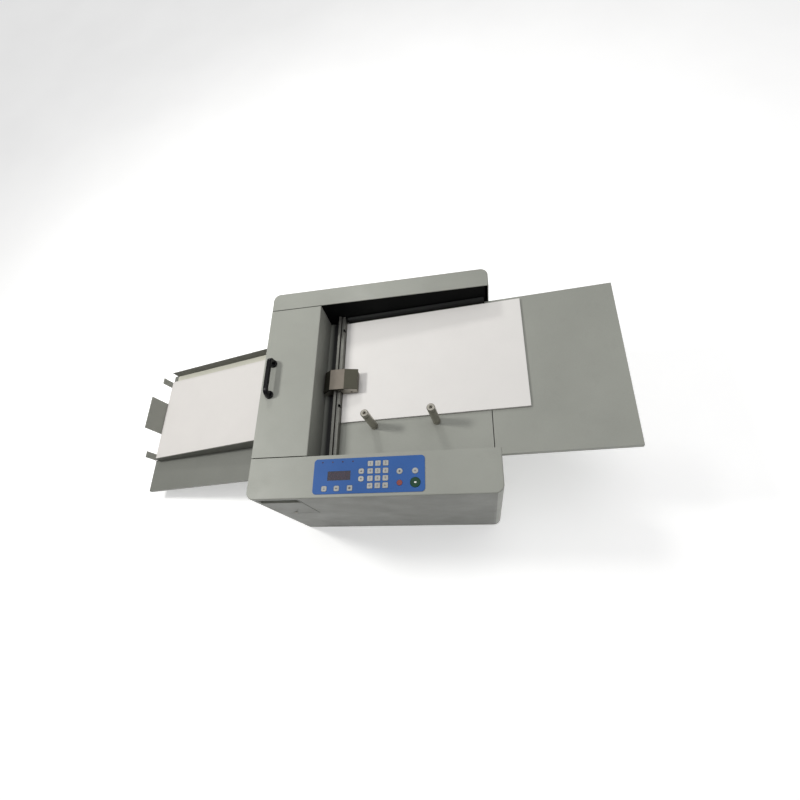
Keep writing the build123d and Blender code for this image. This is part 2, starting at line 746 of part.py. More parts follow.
def head_cover():
    cover = block((0, COVER_WIDTH), COVER_Y, (TOP - SKIN, TOP))
    cover += block((0, SKIN), COVER_Y, (TOP - COVER_LIP_HEIGHT, TOP))
    cover += block((COVER_WIDTH - SKIN, COVER_WIDTH), COVER_Y, (TOP - COVER_FACE_HEIGHT, TOP))
    long_edges = cover.edges().filter_by(Axis.Y).group_by(Axis.Z)[-1]
    cover = fillet(long_edges, EDGE_RADIUS - 0.6)
    flange_x = (SKIN / 2, COVER_WIDTH - SKIN / 2)
    for y in (COVER_Y[0], COVER_Y[1] - SKIN):
        cover += block(flange_x, (y, y + SKIN), (TOP - COVER_FLANGE, TOP - SKIN))
    return cover - rod_y(HINGE_X, HINGE_Z, (0, BODY_DEPTH), PIN_RADIUS + RUNNING)


def cover_handle():
    """Bridge handle with two round feet."""
    half = HANDLE_WIDTH / 2
    bridge = block((HANDLE_X - half, HANDLE_X + half), HANDLE_Y, (TOP, TOP + HANDLE_HEIGHT))
    bridge = fillet(bridge.edges().filter_by(Axis.X).group_by(Axis.Z)[-1], HANDLE_BENDS[0])
    gap = block(
        (HANDLE_X - HANDLE_WIDTH, HANDLE_X + HANDLE_WIDTH),
        (HANDLE_Y[0] + HANDLE_GRIP, HANDLE_Y[1] - HANDLE_GRIP),
        (TOP - 1, TOP + HANDLE_HEIGHT - HANDLE_GRIP),
    )
    bridge -= fillet(gap.edges().filter_by(Axis.X).group_by(Axis.Z)[-1], HANDLE_BENDS[1])
    above_feet = (TOP + HANDLE_BASE + HANDLE_ROUNDING, TOP + HANDLE_HEIGHT + 1)
    bridge = fillet(bridge.edges().filter_by_position(Axis.Z, *above_feet), HANDLE_ROUNDING)
    inset = HANDLE_FOOT / 2 - HANDLE_OVERHANG
    for y in (HANDLE_Y[0] + inset, HANDLE_Y[1] - inset):
        foot = Pos(HANDLE_X, y, TOP + HANDLE_BASE / 2) * Cylinder(HANDLE_FOOT / 2, HANDLE_BASE)
        bridge += fillet(foot.edges().group_by(Axis.Z)[-1], HANDLE_ROUNDING / 2)
    return bridge


def pivot_pins():
    """Two shouldered pins, one in each frame plate."""
    front = rod_y(HINGE_X, HINGE_Z, (FRONT_FRAME - 2, COVER_Y[0] + SKIN + 1.5), PIN_RADIUS)
    front += rod_y(HINGE_X, HINGE_Z, (FRONT_FRAME - 4, FRONT_FRAME), PIN_RADIUS + 2)
    rear_end = REAR_FRAME + FRAME_PLATE
    rear = rod_y(HINGE_X, HINGE_Z, (COVER_Y[1] - SKIN - 1.5, rear_end + 2), PIN_RADIUS)
    rear += rod_y(HINGE_X, HINGE_Z, (rear_end, rear_end + 4), PIN_RADIUS + 2)
    return group([front, rear])


# ---- control panel ----
KEYPAD_X = (275.0, 291.0, 307.3)
KEYPAD_Y = (69.6, 53.4, 37.7, 22.4)
DISPLAY_X = (183.0, 233.0)
DISPLAY_Y = (36.0, 56.0)
LED_X = (170.5, 192.7, 214.8, 237.0)
LED_Y = 76.0
LED_RADIUS = 1.5
KEY_GAP = 0.4
KEY_DEPTH = 4.0
KEY_ROUNDING = 0.4
SKIRT_WIDTH = 0.9
SKIRT_HEIGHT = 1.8
OVERLAY_CORNER = 8.0
LENS_GAP = 0.1
KEYPAD_CORNER = 1.8
OTHER_KEYS = {
    "up": (256.0, 53.8, ("square", KEY_SIZE, 4.0)),
    "down": (256.0, 37.7, ("square", KEY_SIZE, 4.0)),
    "mode": (177.3, 19.0, ("square", KEY_SIZE, 3.0)),
    "speed": (204.4, 19.0, ("square", KEY_SIZE, 3.0)),
    "count": (232.7, 19.0, ("square", KEY_SIZE, 1.8)),
    "test": (336.5, 50.8, ("round", 6.2)),
    "feed": (368.3, 50.6, ("round", 6.2)),
    "stop": (336.6, 26.8, ("round", 5.8)),
    "start": (368.5, 26.6, ("round", 10.4)),
}


def key_places():
    """Name, place and plan of every key: ("square", side, corner radius) or ("round", radius)."""
    keys = {}
    names = ("1", "2", "3", "4", "5", "6", "7", "8", "9", "clear", "0", "enter")
    for index, name in enumerate(names):
        column, row = index % 3, index // 3
        plan = ("square", KEY_SIZE, KEYPAD_CORNER)
        keys["key_" + name] = (KEYPAD_X[column], KEYPAD_Y[row], plan)
    for name, key in OTHER_KEYS.items():
        keys["key_" + name] = key
    return keys


def key_plan(plan, grow):
    """Plan of a key, made larger all round by grow."""
    if plan[0] == "round":
        return Circle(plan[1] + grow)
    side, radius = plan[1] + 2 * grow, plan[2] + grow
    return RectangleRounded(side, side, radius)


def key_cap(x, y, plan):
    """Cap with a skirt that stays under the overlay."""
    cap = extrude(key_plan(plan, 0), amount=KEY_DEPTH + OVERLAY_THICKNESS + KEY_RISE)
    cap = fillet(cap.edges().group_by(Axis.Z)[-1], KEY_ROUNDING)
    skirt = Pos(0, 0, 1.0) * extrude(key_plan(plan, SKIRT_WIDTH), amount=SKIRT_HEIGHT)
    return Pos(x, y, TOP - KEY_DEPTH) * (cap + skirt)


def control_overlay():
    width = OVERLAY_X[1] - OVERLAY_X[0]
    depth = OVERLAY_Y[1] - OVERLAY_Y[0]
    middle_x, middle_y = sum(OVERLAY_X) / 2, sum(OVERLAY_Y) / 2
    sheet = Pos(middle_x, middle_y) * RectangleRounded(width, depth, OVERLAY_CORNER)
    for x, y, plan in key_places().values():
        sheet -= Pos(x, y) * key_plan(plan, KEY_GAP)
    for x in LED_X:
        sheet -= Pos(x, LED_Y) * Circle(LED_RADIUS + 0.2)
    sheet -= Pos(sum(DISPLAY_X) / 2, sum(DISPLAY_Y) / 2) * Rectangle(
        DISPLAY_X[1] - DISPLAY_X[0], DISPLAY_Y[1] - DISPLAY_Y[0]
    )
    return Pos(0, 0, TOP) * extrude(sheet, amount=OVERLAY_THICKNESS)


def display_window():
    """Lens that fills the overlay's window, with a flange under the overlay."""
    centre = (sum(DISPLAY_X) / 2, sum(DISPLAY_Y) / 2)
    half = ((DISPLAY_X[1] - DISPLAY_X[0]) / 2, (DISPLAY_Y[1] - DISPLAY_Y[0]) / 2)

    def plate(grow, z_span):
        spans = [(middle - size - grow, middle + size + grow) for middle, size in zip(centre, half)]
        return block(*spans, z_span)

    lens = plate(-LENS_GAP, (TOP - 1, TOP + OVERLAY_THICKNESS - 2 * LENS_GAP))
    flange = plate(2.0, (TOP - 2.5, TOP - LENS_GAP))
    return lens + flange


def control_board():
    """Circuit board with the display module, a switch under each key and four indicators."""
    top = TOP - BOARD_DROP
    board = block(
        (OVERLAY_X[0] + 1, OVERLAY_X[1] - 1),
        (OVERLAY_Y[0] + 2, OVERLAY_Y[1] - 2),
        (top - BOARD_THICKNESS, top),
    )
    switch_top = TOP - KEY_DEPTH - KEY_TRAVEL - 0.2
    for x, y, _ in key_places().values():
        board += Pos(x, y, (top + switch_top) / 2) * Box(6, 6, switch_top - top)
    board += block(DISPLAY_X, DISPLAY_Y, (top, TOP - 3))
    for x in LED_X:
        reach = TOP + OVERLAY_THICKNESS - top
        board += Pos(x, LED_Y, top + reach / 2) * Cylinder(LED_RADIUS, reach)
    return board


# ---- mains inlet with its rocker switch ----
ROCKER_Z = MODULE_Z + ROCKER_LIFT
ROCKER_PIN = 1.5
ROCKER_POCKET = (7.2, 12.0, 10.2)
ROCKER_DISH = 44.0
PIN_SPAN = 20.0
SOCKET_HALF = (11.5, 8.0)
SOCKET_DEPTH = 17.0
BLADE_HALF = (1.0, 2.0)
BLADE_RECESS = 5.0
BLADE_PLACES = ((-7.0, -1.5), (0.0, 2.5), (7.0, -1.5))
MODULE_DEPTH = 26.0


def power_inlet():
    """Appliance inlet with three blades, and a pocket for the rocker above it."""
    half_width, half_height = MODULE_WIDTH / 2, MODULE_HEIGHT / 2
    x_span = (MODULE_X - half_width, MODULE_X + half_width)
    z_span = (MODULE_Z - half_height, MODULE_Z + half_height)
    module = block(x_span, (BODY_DEPTH - MODULE_DEPTH, BODY_DEPTH), z_span)
    flange = block(
        (x_span[0] - MODULE_RIM, x_span[1] + MODULE_RIM),
        (BODY_DEPTH, BODY_DEPTH + MODULE_FLANGE),
        (z_span[0] - MODULE_RIM, z_span[1] + MODULE_RIM),
    )
    module += chamfer(flange.faces().sort_by(Axis.Y)[-1].edges(), 1.0)
    socket_z = MODULE_Z - INLET_DROP
    front = BODY_DEPTH + MODULE_FLANGE
    floor = front - SOCKET_DEPTH
    module -= around(MODULE_X, socket_z, SOCKET_HALF, (floor, front + 1))
    for x, z in BLADE_PLACES:
        module += around(MODULE_X + x, socket_z + z, BLADE_HALF, (floor - 1, front - BLADE_RECESS))
    half_x, depth, half_z = ROCKER_POCKET
    module -= around(MODULE_X, ROCKER_Z, (half_x, half_z), (BODY_DEPTH - depth, front + 1))
    bore = Rot(0, 90, 0) * Cylinder(ROCKER_PIN + RUNNING, PIN_SPAN + 1)
    bore = Pos(MODULE_X, ROCKER_Y, ROCKER_Z) * bore
    return module - bore


def power_switch():
    """Rocker on two stub pins, resting with its upper half out."""
    rocker = Box(*ROCKER_SIZE)
    dish = Rot(0, 90, 0) * Cylinder(ROCKER_DISH, PIN_SPAN)
    rocker -= Pos(0, ROCKER_DISH + ROCKER_SIZE[1] / 2 - 1.0, 0) * dish
    rocker += Rot(0, 90, 0) * Cylinder(ROCKER_PIN, PIN_SPAN)
    return Pos(MODULE_X, ROCKER_Y, ROCKER_Z) * Rot(-ROCKER_TILT, 0, 0) * rocker


# ---- the whole set ----
def build():
    parts = {
        "base_pan": base_pan(),
        "front_frame": front_frame(),
        "rear_frame": rear_frame(),
        "console_shell": console_shell(),
        "rear_casing": rear_casing(),
        "service_panel": service_panel(),
        "rubber_feet": rubber_feet(),
        "casing_screws": casing_screws(),
        "feed_table": feed_table(),
        "table_extension": table_extension(),
        "rear_fence": rear_fence(),
        "feed_bar": feed_bar(),
        "gate_plate": gate_plate(),
        "separator_hood": separator_hood(),
        "separator_block": separator_block(),
        "guide_post_left": guide_post("left"),
        "guide_post_right": guide_post("right"),
        "feed_stack": feed_stack(),
        "feed_roller": FEED.solid(),
        "transport_roller": TRANSPORT.solid(),
        "pressure_roller": PRESSURE.solid(),
        "imprint_drum": imprint_drum(),
        "impression_roller": IMPRESSION.solid(),
        "drive_motor": drive_motor(),
        "motor_pulley": motor_pulley(),
        "timing_belt": timing_belt(),
        "delivery_tray": delivery_tray(),
        "tray_rail_front": tray_rail(FRONT_RAIL, FRONT_RAIL_HEIGHTS, True),
        "tray_rail_rear": tray_rail(REAR_RAIL, REAR_RAIL_HEIGHTS, False),
        "end_stop": end_stop(),
        "delivered_stack": delivered_stack(),
        "head_cover": head_cover(),
        "cover_handle": cover_handle(),
        "pivot_pins": pivot_pins(),
        "control_overlay": control_overlay(),
        "display_window": display_window(),
        "control_board": control_board(),
        "power_inlet": power_inlet(),
        "power_switch": power_switch(),
    }
    for name, (x, y, plan) in key_places().items():
        parts[name] = key_cap(x, y, plan)
    return parts


def main():
    os.makedirs("parts", exist_ok=True)
    parts = build()
    box = group(parts.values()).bounding_box()
    middle = box.center()
    print("nodes", len(parts), "size", box.size, "origin", middle.X, middle.Y, "floor", box.min.Z)
    for name, shape in parts.items():
        export_step(Pos(-middle.X, -middle.Y, 0) * shape, os.path.join("parts", name + ".step"))


main()
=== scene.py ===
import json
import math
import random

import bmesh
import bpy
from mathutils import Matrix, Vector

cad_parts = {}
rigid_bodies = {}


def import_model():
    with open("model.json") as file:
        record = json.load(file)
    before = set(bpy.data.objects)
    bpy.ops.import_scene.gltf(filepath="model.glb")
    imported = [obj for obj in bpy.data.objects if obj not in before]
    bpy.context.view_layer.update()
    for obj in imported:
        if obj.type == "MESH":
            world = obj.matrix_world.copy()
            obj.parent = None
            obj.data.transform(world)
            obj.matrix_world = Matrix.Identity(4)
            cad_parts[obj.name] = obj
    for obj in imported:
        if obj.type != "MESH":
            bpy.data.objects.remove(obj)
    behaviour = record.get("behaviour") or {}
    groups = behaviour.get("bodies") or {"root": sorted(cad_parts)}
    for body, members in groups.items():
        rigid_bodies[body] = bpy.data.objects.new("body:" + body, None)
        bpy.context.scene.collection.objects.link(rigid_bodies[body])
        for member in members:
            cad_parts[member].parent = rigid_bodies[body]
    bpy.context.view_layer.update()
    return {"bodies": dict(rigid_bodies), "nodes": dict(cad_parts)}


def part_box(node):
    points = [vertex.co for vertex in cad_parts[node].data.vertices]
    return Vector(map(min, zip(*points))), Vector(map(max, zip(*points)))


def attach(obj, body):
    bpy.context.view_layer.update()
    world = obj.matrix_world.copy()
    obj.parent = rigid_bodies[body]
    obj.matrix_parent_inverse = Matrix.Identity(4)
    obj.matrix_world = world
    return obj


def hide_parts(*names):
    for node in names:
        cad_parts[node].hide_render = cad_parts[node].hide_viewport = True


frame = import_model()
scene = bpy.context.scene

MM = 0.001
TABLE_PITCH = math.radians(3.54)
TRAY_PITCH = math.radians(12.27)
SHEET_LENGTH = 432 * MM
SHEET_WIDTH = 279 * MM
PRINT_THICKNESS = 0.08 * MM

body_low, body_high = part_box("console_shell")
BODY_WIDTH = body_high[0] - body_low[0]


# ---- camera: close, high and a little to the right, as wide as the tables need ----
CAMERA_OFFSET = Vector((0.9211, -0.3752, 1.5625))
CAMERA_TURN = (22.3914, 12.1842, 1.3063)
CAMERA_FOCAL = 19.777
CAMERA_SHIFT = (0.01672, 0.03412)
SENSOR_WIDTH = 36.0


def make_camera():
    data = bpy.data.cameras.new("photo_camera")
    data.sensor_width = SENSOR_WIDTH
    data.lens = CAMERA_FOCAL
    data.shift_x, data.shift_y = CAMERA_SHIFT
    data.clip_start = 0.01
    camera = bpy.data.objects.new("photo_camera", data)
    corner = Vector((body_low[0], body_low[1], body_high[2]))
    camera.location = corner + CAMERA_OFFSET * BODY_WIDTH
    camera.rotation_euler = [math.radians(turn) for turn in CAMERA_TURN]
    scene.collection.objects.link(camera)
    scene.camera = camera


# ---- light and floor ----
# Where each of the sky's two greys stands on the way up, and how light it is.
SKY_HORIZON = (0.05, 0.14)
SKY_OVERHEAD = (0.75, 0.26)
AIM_HEIGHT = 0.3
SMALL_LAMP = 0.32
OVERHEAD_ENERGY = 0.5
OVERHEAD_SPREAD = math.radians(60)
OVERHEAD_TURN = (math.radians(-8), math.radians(6), 0)
FLOOR_SIZE = 50.0
FLOOR_GLOW = 0.4


def add_lamp(name, kind, energy):
    data = bpy.data.lights.new(name, kind)
    data.energy = energy
    lamp = bpy.data.objects.new(name, data)
    scene.collection.objects.link(lamp)
    return data, lamp


def area_light(name, place, aim_x, size, power, colour=(1, 1, 1)):
    """Round lamp that points at the machine, aim_x to the right of its middle."""
    data, lamp = add_lamp(name, "AREA", power)
    data.shape = "DISK"
    data.size = size
    data.color = colour
    lamp.location = place
    aim = Vector((aim_x, 0, AIM_HEIGHT)) - Vector(place)
    lamp.rotation_euler = aim.to_track_quat("-Z", "Y").to_euler()


def make_sky():
    """Dim surroundings that brighten overhead, as in a studio with dark walls."""
    world = bpy.data.worlds.new("studio")
    world.use_nodes = True
    nodes, links = world.node_tree.nodes, world.node_tree.links
    split = nodes.new("ShaderNodeSeparateXYZ")
    links.new(nodes.new("ShaderNodeTexCoord").outputs["Generated"], split.inputs["Vector"])
    ramp = nodes.new("ShaderNodeValToRGB")
    for element, (height, grey) in zip(ramp.color_ramp.elements, (SKY_HORIZON, SKY_OVERHEAD)):
        element.position = height
        element.color = (grey, grey, grey, 1.0)
    links.new(split.outputs["Z"], ramp.inputs["Fac"])
    links.new(ramp.outputs["Color"], nodes["Background"].inputs["Color"])
    scene.world = world


def make_studio():
    make_sky()
    scene.view_settings.view_transform = "Standard"
    area_light("key", (-1.1, 0.12, 1.65), 0.0, SMALL_LAMP, 15, (1.0, 0.995, 0.965))
    area_light("rear", (-0.30, 1.45, 1.45), 0.15, SMALL_LAMP, 6.5, (1.0, 1.0, 0.98))
    area_light("top", (0.6, 0.2, 2.5), 0.35, 1.6, 7)
    overhead, lamp = add_lamp("overhead", "SUN", OVERHEAD_ENERGY)
    overhead.angle = OVERHEAD_SPREAD
    lamp.rotation_euler = OVERHEAD_TURN
    area_light("fill", (1.9, 0.1, 1.2), 0.0, 1.2, 3.2)
    make_floor()


def make_floor():
    """Pale floor with a faint glow of its own, so that it stays white round the machine."""
    half = FLOOR_SIZE / 2
    mesh = bpy.data.meshes.new("floor")
    corners = [(-half, -half, 0), (half, -half, 0), (half, half, 0), (-half, half, 0)]
    mesh.from_pydata(corners, [], [(0, 1, 2, 3)])
    floor = bpy.data.objects.new("floor", mesh)
    scene.collection.objects.link(floor)
    paint = Shader("floor_paint", Roughness=0.9, Emission_Strength=FLOOR_GLOW)
    tone = paint.ramp(paint.noise(3.0), [(0.3, (0.94, 0.94, 0.94)), (0.7, (0.97, 0.97, 0.97))])
    paint.feed("Base Color", tone)
    paint.feed("Emission Color", tone)
    mesh.materials.append(paint.material)


# ---- materials ----
class Shader:
    """A principled material with procedural inputs, placed by the object's own metres."""

    def __init__(self, name, **sockets):
        self.material = bpy.data.materials.new(name)
        self.material.use_nodes = True
        self.nodes = self.material.node_tree.nodes
        self.links = self.material.node_tree.links
        self.surface = self.nodes["Principled BSDF"]
        for socket, value in sockets.items():
            self.surface.inputs[socket.replace("_", " ")].default_value = value
        self.place = self.nodes.new("ShaderNodeTexCoord").outputs["Object"]

    def stretched(self, scales):
        mapping = self.nodes.new("ShaderNodeMapping")
        mapping.inputs["Scale"].default_value = scales
        self.links.new(self.place, mapping.inputs["Vector"])
        return mapping.outputs["Vector"]

    def noise(self, scale, detail=4.0, roughness=0.55, stretch=None):
        texture = self.nodes.new("ShaderNodeTexNoise")
        texture.inputs["Scale"].default_value = scale
        texture.inputs["Detail"].default_value = detail
        texture.inputs["Roughness"].default_value = roughness
        self.links.new(self.stretched(stretch) if stretch else self.place, texture.inputs["Vector"])
        return texture.outputs["Fac"]

    def cells(self, scale, feature="F1"):
        texture = self.nodes.new("ShaderNodeTexVoronoi")
        texture.feature = feature
        texture.inputs["Scale"].default_value = scale
        self.links.new(self.place, texture.inputs["Vector"])
        return texture.outputs["Distance"]

    def ramp(self, source, stops):
        """Colour, or grey where a stop is one number, along the source's value."""
        node = self.nodes.new("ShaderNodeValToRGB")
        elements = node.color_ramp.elements
        while len(elements) < len(stops):
            elements.new(0.5)
        for element, (position, colour) in zip(elements, stops):
            rgb = colour if isinstance(colour, tuple) else (colour,) * 3
            element.position = position
            element.color = (*rgb, 1.0)
        self.links.new(source, node.inputs["Fac"])
        return node.outputs["Color"]

    def mix(self, under, over, share, blend="MIX"):
        node = self.nodes.new("ShaderNodeMix")
        node.data_type = "RGBA"
        node.blend_type = blend
        for socket, value in (("Factor", share), ("A", under), ("B", over)):
            target = next(s for s in node.inputs if s.name == socket and s.enabled)
            if isinstance(value, bpy.types.NodeSocket):
                self.links.new(value, target)
            elif isinstance(value, tuple):
                target.default_value = (*value, 1.0)
            else:
                target.default_value = value
        return next(s for s in node.outputs if s.enabled)

    def bump(self, height, depth, strength=1.0):
        node = self.nodes.new("ShaderNodeBump")
        node.inputs["Distance"].default_value = depth
        node.inputs["Strength"].default_value = strength
        self.links.new(height, node.inputs["Height"])
        previous = self.surface.inputs["Normal"].links
        if previous:
            self.links.new(previous[0].from_socket, node.inputs["Normal"])
        self.links.new(node.outputs["Normal"], self.surface.inputs["Normal"])

    def feed(self, socket, source):
        self.links.new(source, self.surface.inputs[socket])


def scaled(colour, factor):
    return tuple(channel * factor for channel in colour)


def powder_paint(name, colour, roughness=0.5, shine=0.5):
    """Satin powder coat: fine orange peel, faint speckle, slow changes of tone and rubbed patches."""
    paint = Shader(name, Specular_IOR_Level=shine)
    slow = paint.noise(5.0, 3.0)
    base = paint.ramp(slow, [(0.3, scaled(colour, 0.93)), (0.7, scaled(colour, 1.05))])
    speck = paint.ramp(paint.noise(1800.0, 2.0), [(0.42, 0.88), (0.6, 1.06)])
    base = paint.mix(base, speck, 0.7, "MULTIPLY")
    grime = paint.ramp(paint.noise(28.0, 8.0, 0.7), [(0.56, 0.0), (0.78, 1.0)])
    dusty = scaled(colour, 0.82)
    paint.feed("Base Color", paint.mix(base, dusty, paint.ramp(grime, [(0.0, 0.0), (1.0, 0.35)])))
    gloss = paint.ramp(paint.noise(16.0, 5.0), [(0.3, roughness - 0.07), (0.7, roughness + 0.09)])
    paint.feed("Roughness", gloss)
    paint.bump(paint.noise(1100.0, 2.0), 0.00012, 0.45)
    paint.bump(paint.noise(9.0, 1.0), 0.0006, 0.12)
    return paint


def powder_coat(*settings):
    return powder_paint(*settings).material


# Painted shade: the flat black of the feed table's throat, and the share of it that lies under the
# cover's edge.
PAINTED_SHADE_BLACK = (0.010, 0.010, 0.011)
SHADE_START = 0.15


def painted_shade_between(name, colour, fade, shade_end):
    """The same powder coat with painted shade: it fades to flat black over a span of X and is grey
    again past its end.
    """
    paint = powder_paint(name, colour)
    nodes, links = paint.nodes, paint.links
    grey = paint.surface.inputs["Base Color"].links[0].from_socket
    split = nodes.new("ShaderNodeSeparateXYZ")
    links.new(paint.place, split.inputs["Vector"])
    factors = []
    for low, high, start, end in ((*fade, SHADE_START, 1.0), (shade_end, shade_end + MM, 1.0, 0.0)):
        span = nodes.new("ShaderNodeMapRange")
        for socket, value in zip(("From Min", "From Max", "To Min", "To Max"), (low, high, start, end)):
            span.inputs[socket].default_value = value
        links.new(split.outputs["X"], span.inputs["Value"])
        factors.append(span.outputs["Result"])
    share = nodes.new("ShaderNodeMath")
    share.operation = "MULTIPLY"
    for source, target in zip(factors, share.inputs):
        links.new(source, target)
    paint.feed("Base Color", paint.mix(grey, PAINTED_SHADE_BLACK, share.outputs["Value"]))
    return paint.material


def brushed_metal(name, colour, stretch, roughness=0.32, streak=0.12, speck=0.0):
    """Metal with fine parallel brushing along the axis that is stretched least."""
    metal = Shader(name, Metallic=1.0)
    lines = metal.noise(1.0, 6.0, 0.7, stretch)
    slow = metal.noise(22.0, 3.0)
    tone = metal.ramp(lines, [(0.3, scaled(colour, 1 - streak)), (0.7, scaled(colour, 1 + streak))])
    cloud = metal.ramp(slow, [(0.35, 0.82 - speck), (0.65, 1.0)])
    metal.feed("Base Color", metal.mix(tone, cloud, 0.8, "MULTIPLY"))
    metal.feed("Roughness", metal.ramp(lines, [(0.3, roughness - 0.08), (0.7, roughness + 0.1)]))
    metal.bump(lines, 0.00006, 0.6)
    return metal.material


def moulded(name, colour, roughness=0.45, grain=900.0, depth=0.00008, shine=0.5):
    """Moulded plastic or rubber with a fine eroded grain and slight fading."""
    plastic = Shader(name, Specular_IOR_Level=shine)
    slow = plastic.noise(35.0, 4.0)
    tone = plastic.ramp(slow, [(0.3, scaled(colour, 0.85)), (0.7, scaled(colour, 1.18))])
    plastic.feed("Base Color", tone)
    gloss = plastic.ramp(plastic.noise(60.0, 5.0), [(0.3, roughness - 0.08), (0.7, roughness + 0.1)])
    plastic.feed("Roughness", gloss)
    plastic.bump(plastic.noise(grain, 3.0), depth, 0.6)
    return plastic.material


def paper(name, tone):
    """Uncoated paper: fibres, a slow cockle and a warm white."""
    sheet = Shader(name, Roughness=0.85)
    fibre = sheet.noise(1500.0, 6.0, 0.7)
    cloud = sheet.noise(14.0, 3.0)
    base = sheet.ramp(cloud, [(0.3, scaled(tone, 0.975)), (0.7, tone)])
    threads = sheet.ramp(fibre, [(0.35, 0.95), (0.6, 1.0)])
    sheet.feed("Base Color", sheet.mix(base, threads, 0.8, "MULTIPLY"))
    sheet.bump(fibre, 0.00005, 0.35)
    sheet.bump(sheet.noise(7.0, 2.0), 0.0008, 0.15)
    return sheet.material


def printed_film(name, colour):
    """Textured polycarbonate film, printed on its back."""
    film = Shader(name, Specular_IOR_Level=0.25, Coat_Weight=0.12, Coat_Roughness=0.3)
    cloud = film.noise(9.0, 3.0)
    tone = film.ramp(cloud, [(0.3, scaled(colour, 0.9)), (0.7, scaled(colour, 1.1))])
    dots = film.ramp(film.cells(1400.0), [(0.1, 0.92), (0.6, 1.05)])
    film.feed("Base Color", film.mix(tone, dots, 0.6, "MULTIPLY"))
    film.feed("Roughness", film.ramp(film.noise(50.0, 5.0), [(0.3, 0.38), (0.7, 0.52)]))
    film.bump(film.cells(1400.0), 0.00004, 0.5)
    return film.material


def smoked_lens(name):
    """Dark acrylic window with fine scratches."""
    lens = Shader(name, Coat_Weight=0.6, Coat_Roughness=0.08)
    cloud = lens.noise(60.0, 3.0)
    tone = lens.ramp(cloud, [(0.3, (0.010, 0.008, 0.020)), (0.7, (0.022, 0.016, 0.036))])
    lens.feed("Base Color", tone)
    scratches = lens.noise(1.0, 5.0, 0.7, (240.0, 2400.0, 600.0))
    lens.feed("Roughness", lens.ramp(scratches, [(0.4, 0.12), (0.7, 0.3)]))
    lens.bump(scratches, 0.00002, 0.4)
    return lens.material


def glowing(name, colour, strength):
    """Lit segment or lamp, a little uneven."""
    lit = Shader(name, Roughness=0.4, Emission_Strength=strength)
    tone = lit.ramp(lit.noise(400.0, 2.0), [(0.3, scaled(colour, 0.8)), (0.7, colour)])
    lit.feed("Base Color", tone)
    lit.feed("Emission Color", tone)
    return lit.material


GREY = (0.325, 0.333, 0.298)
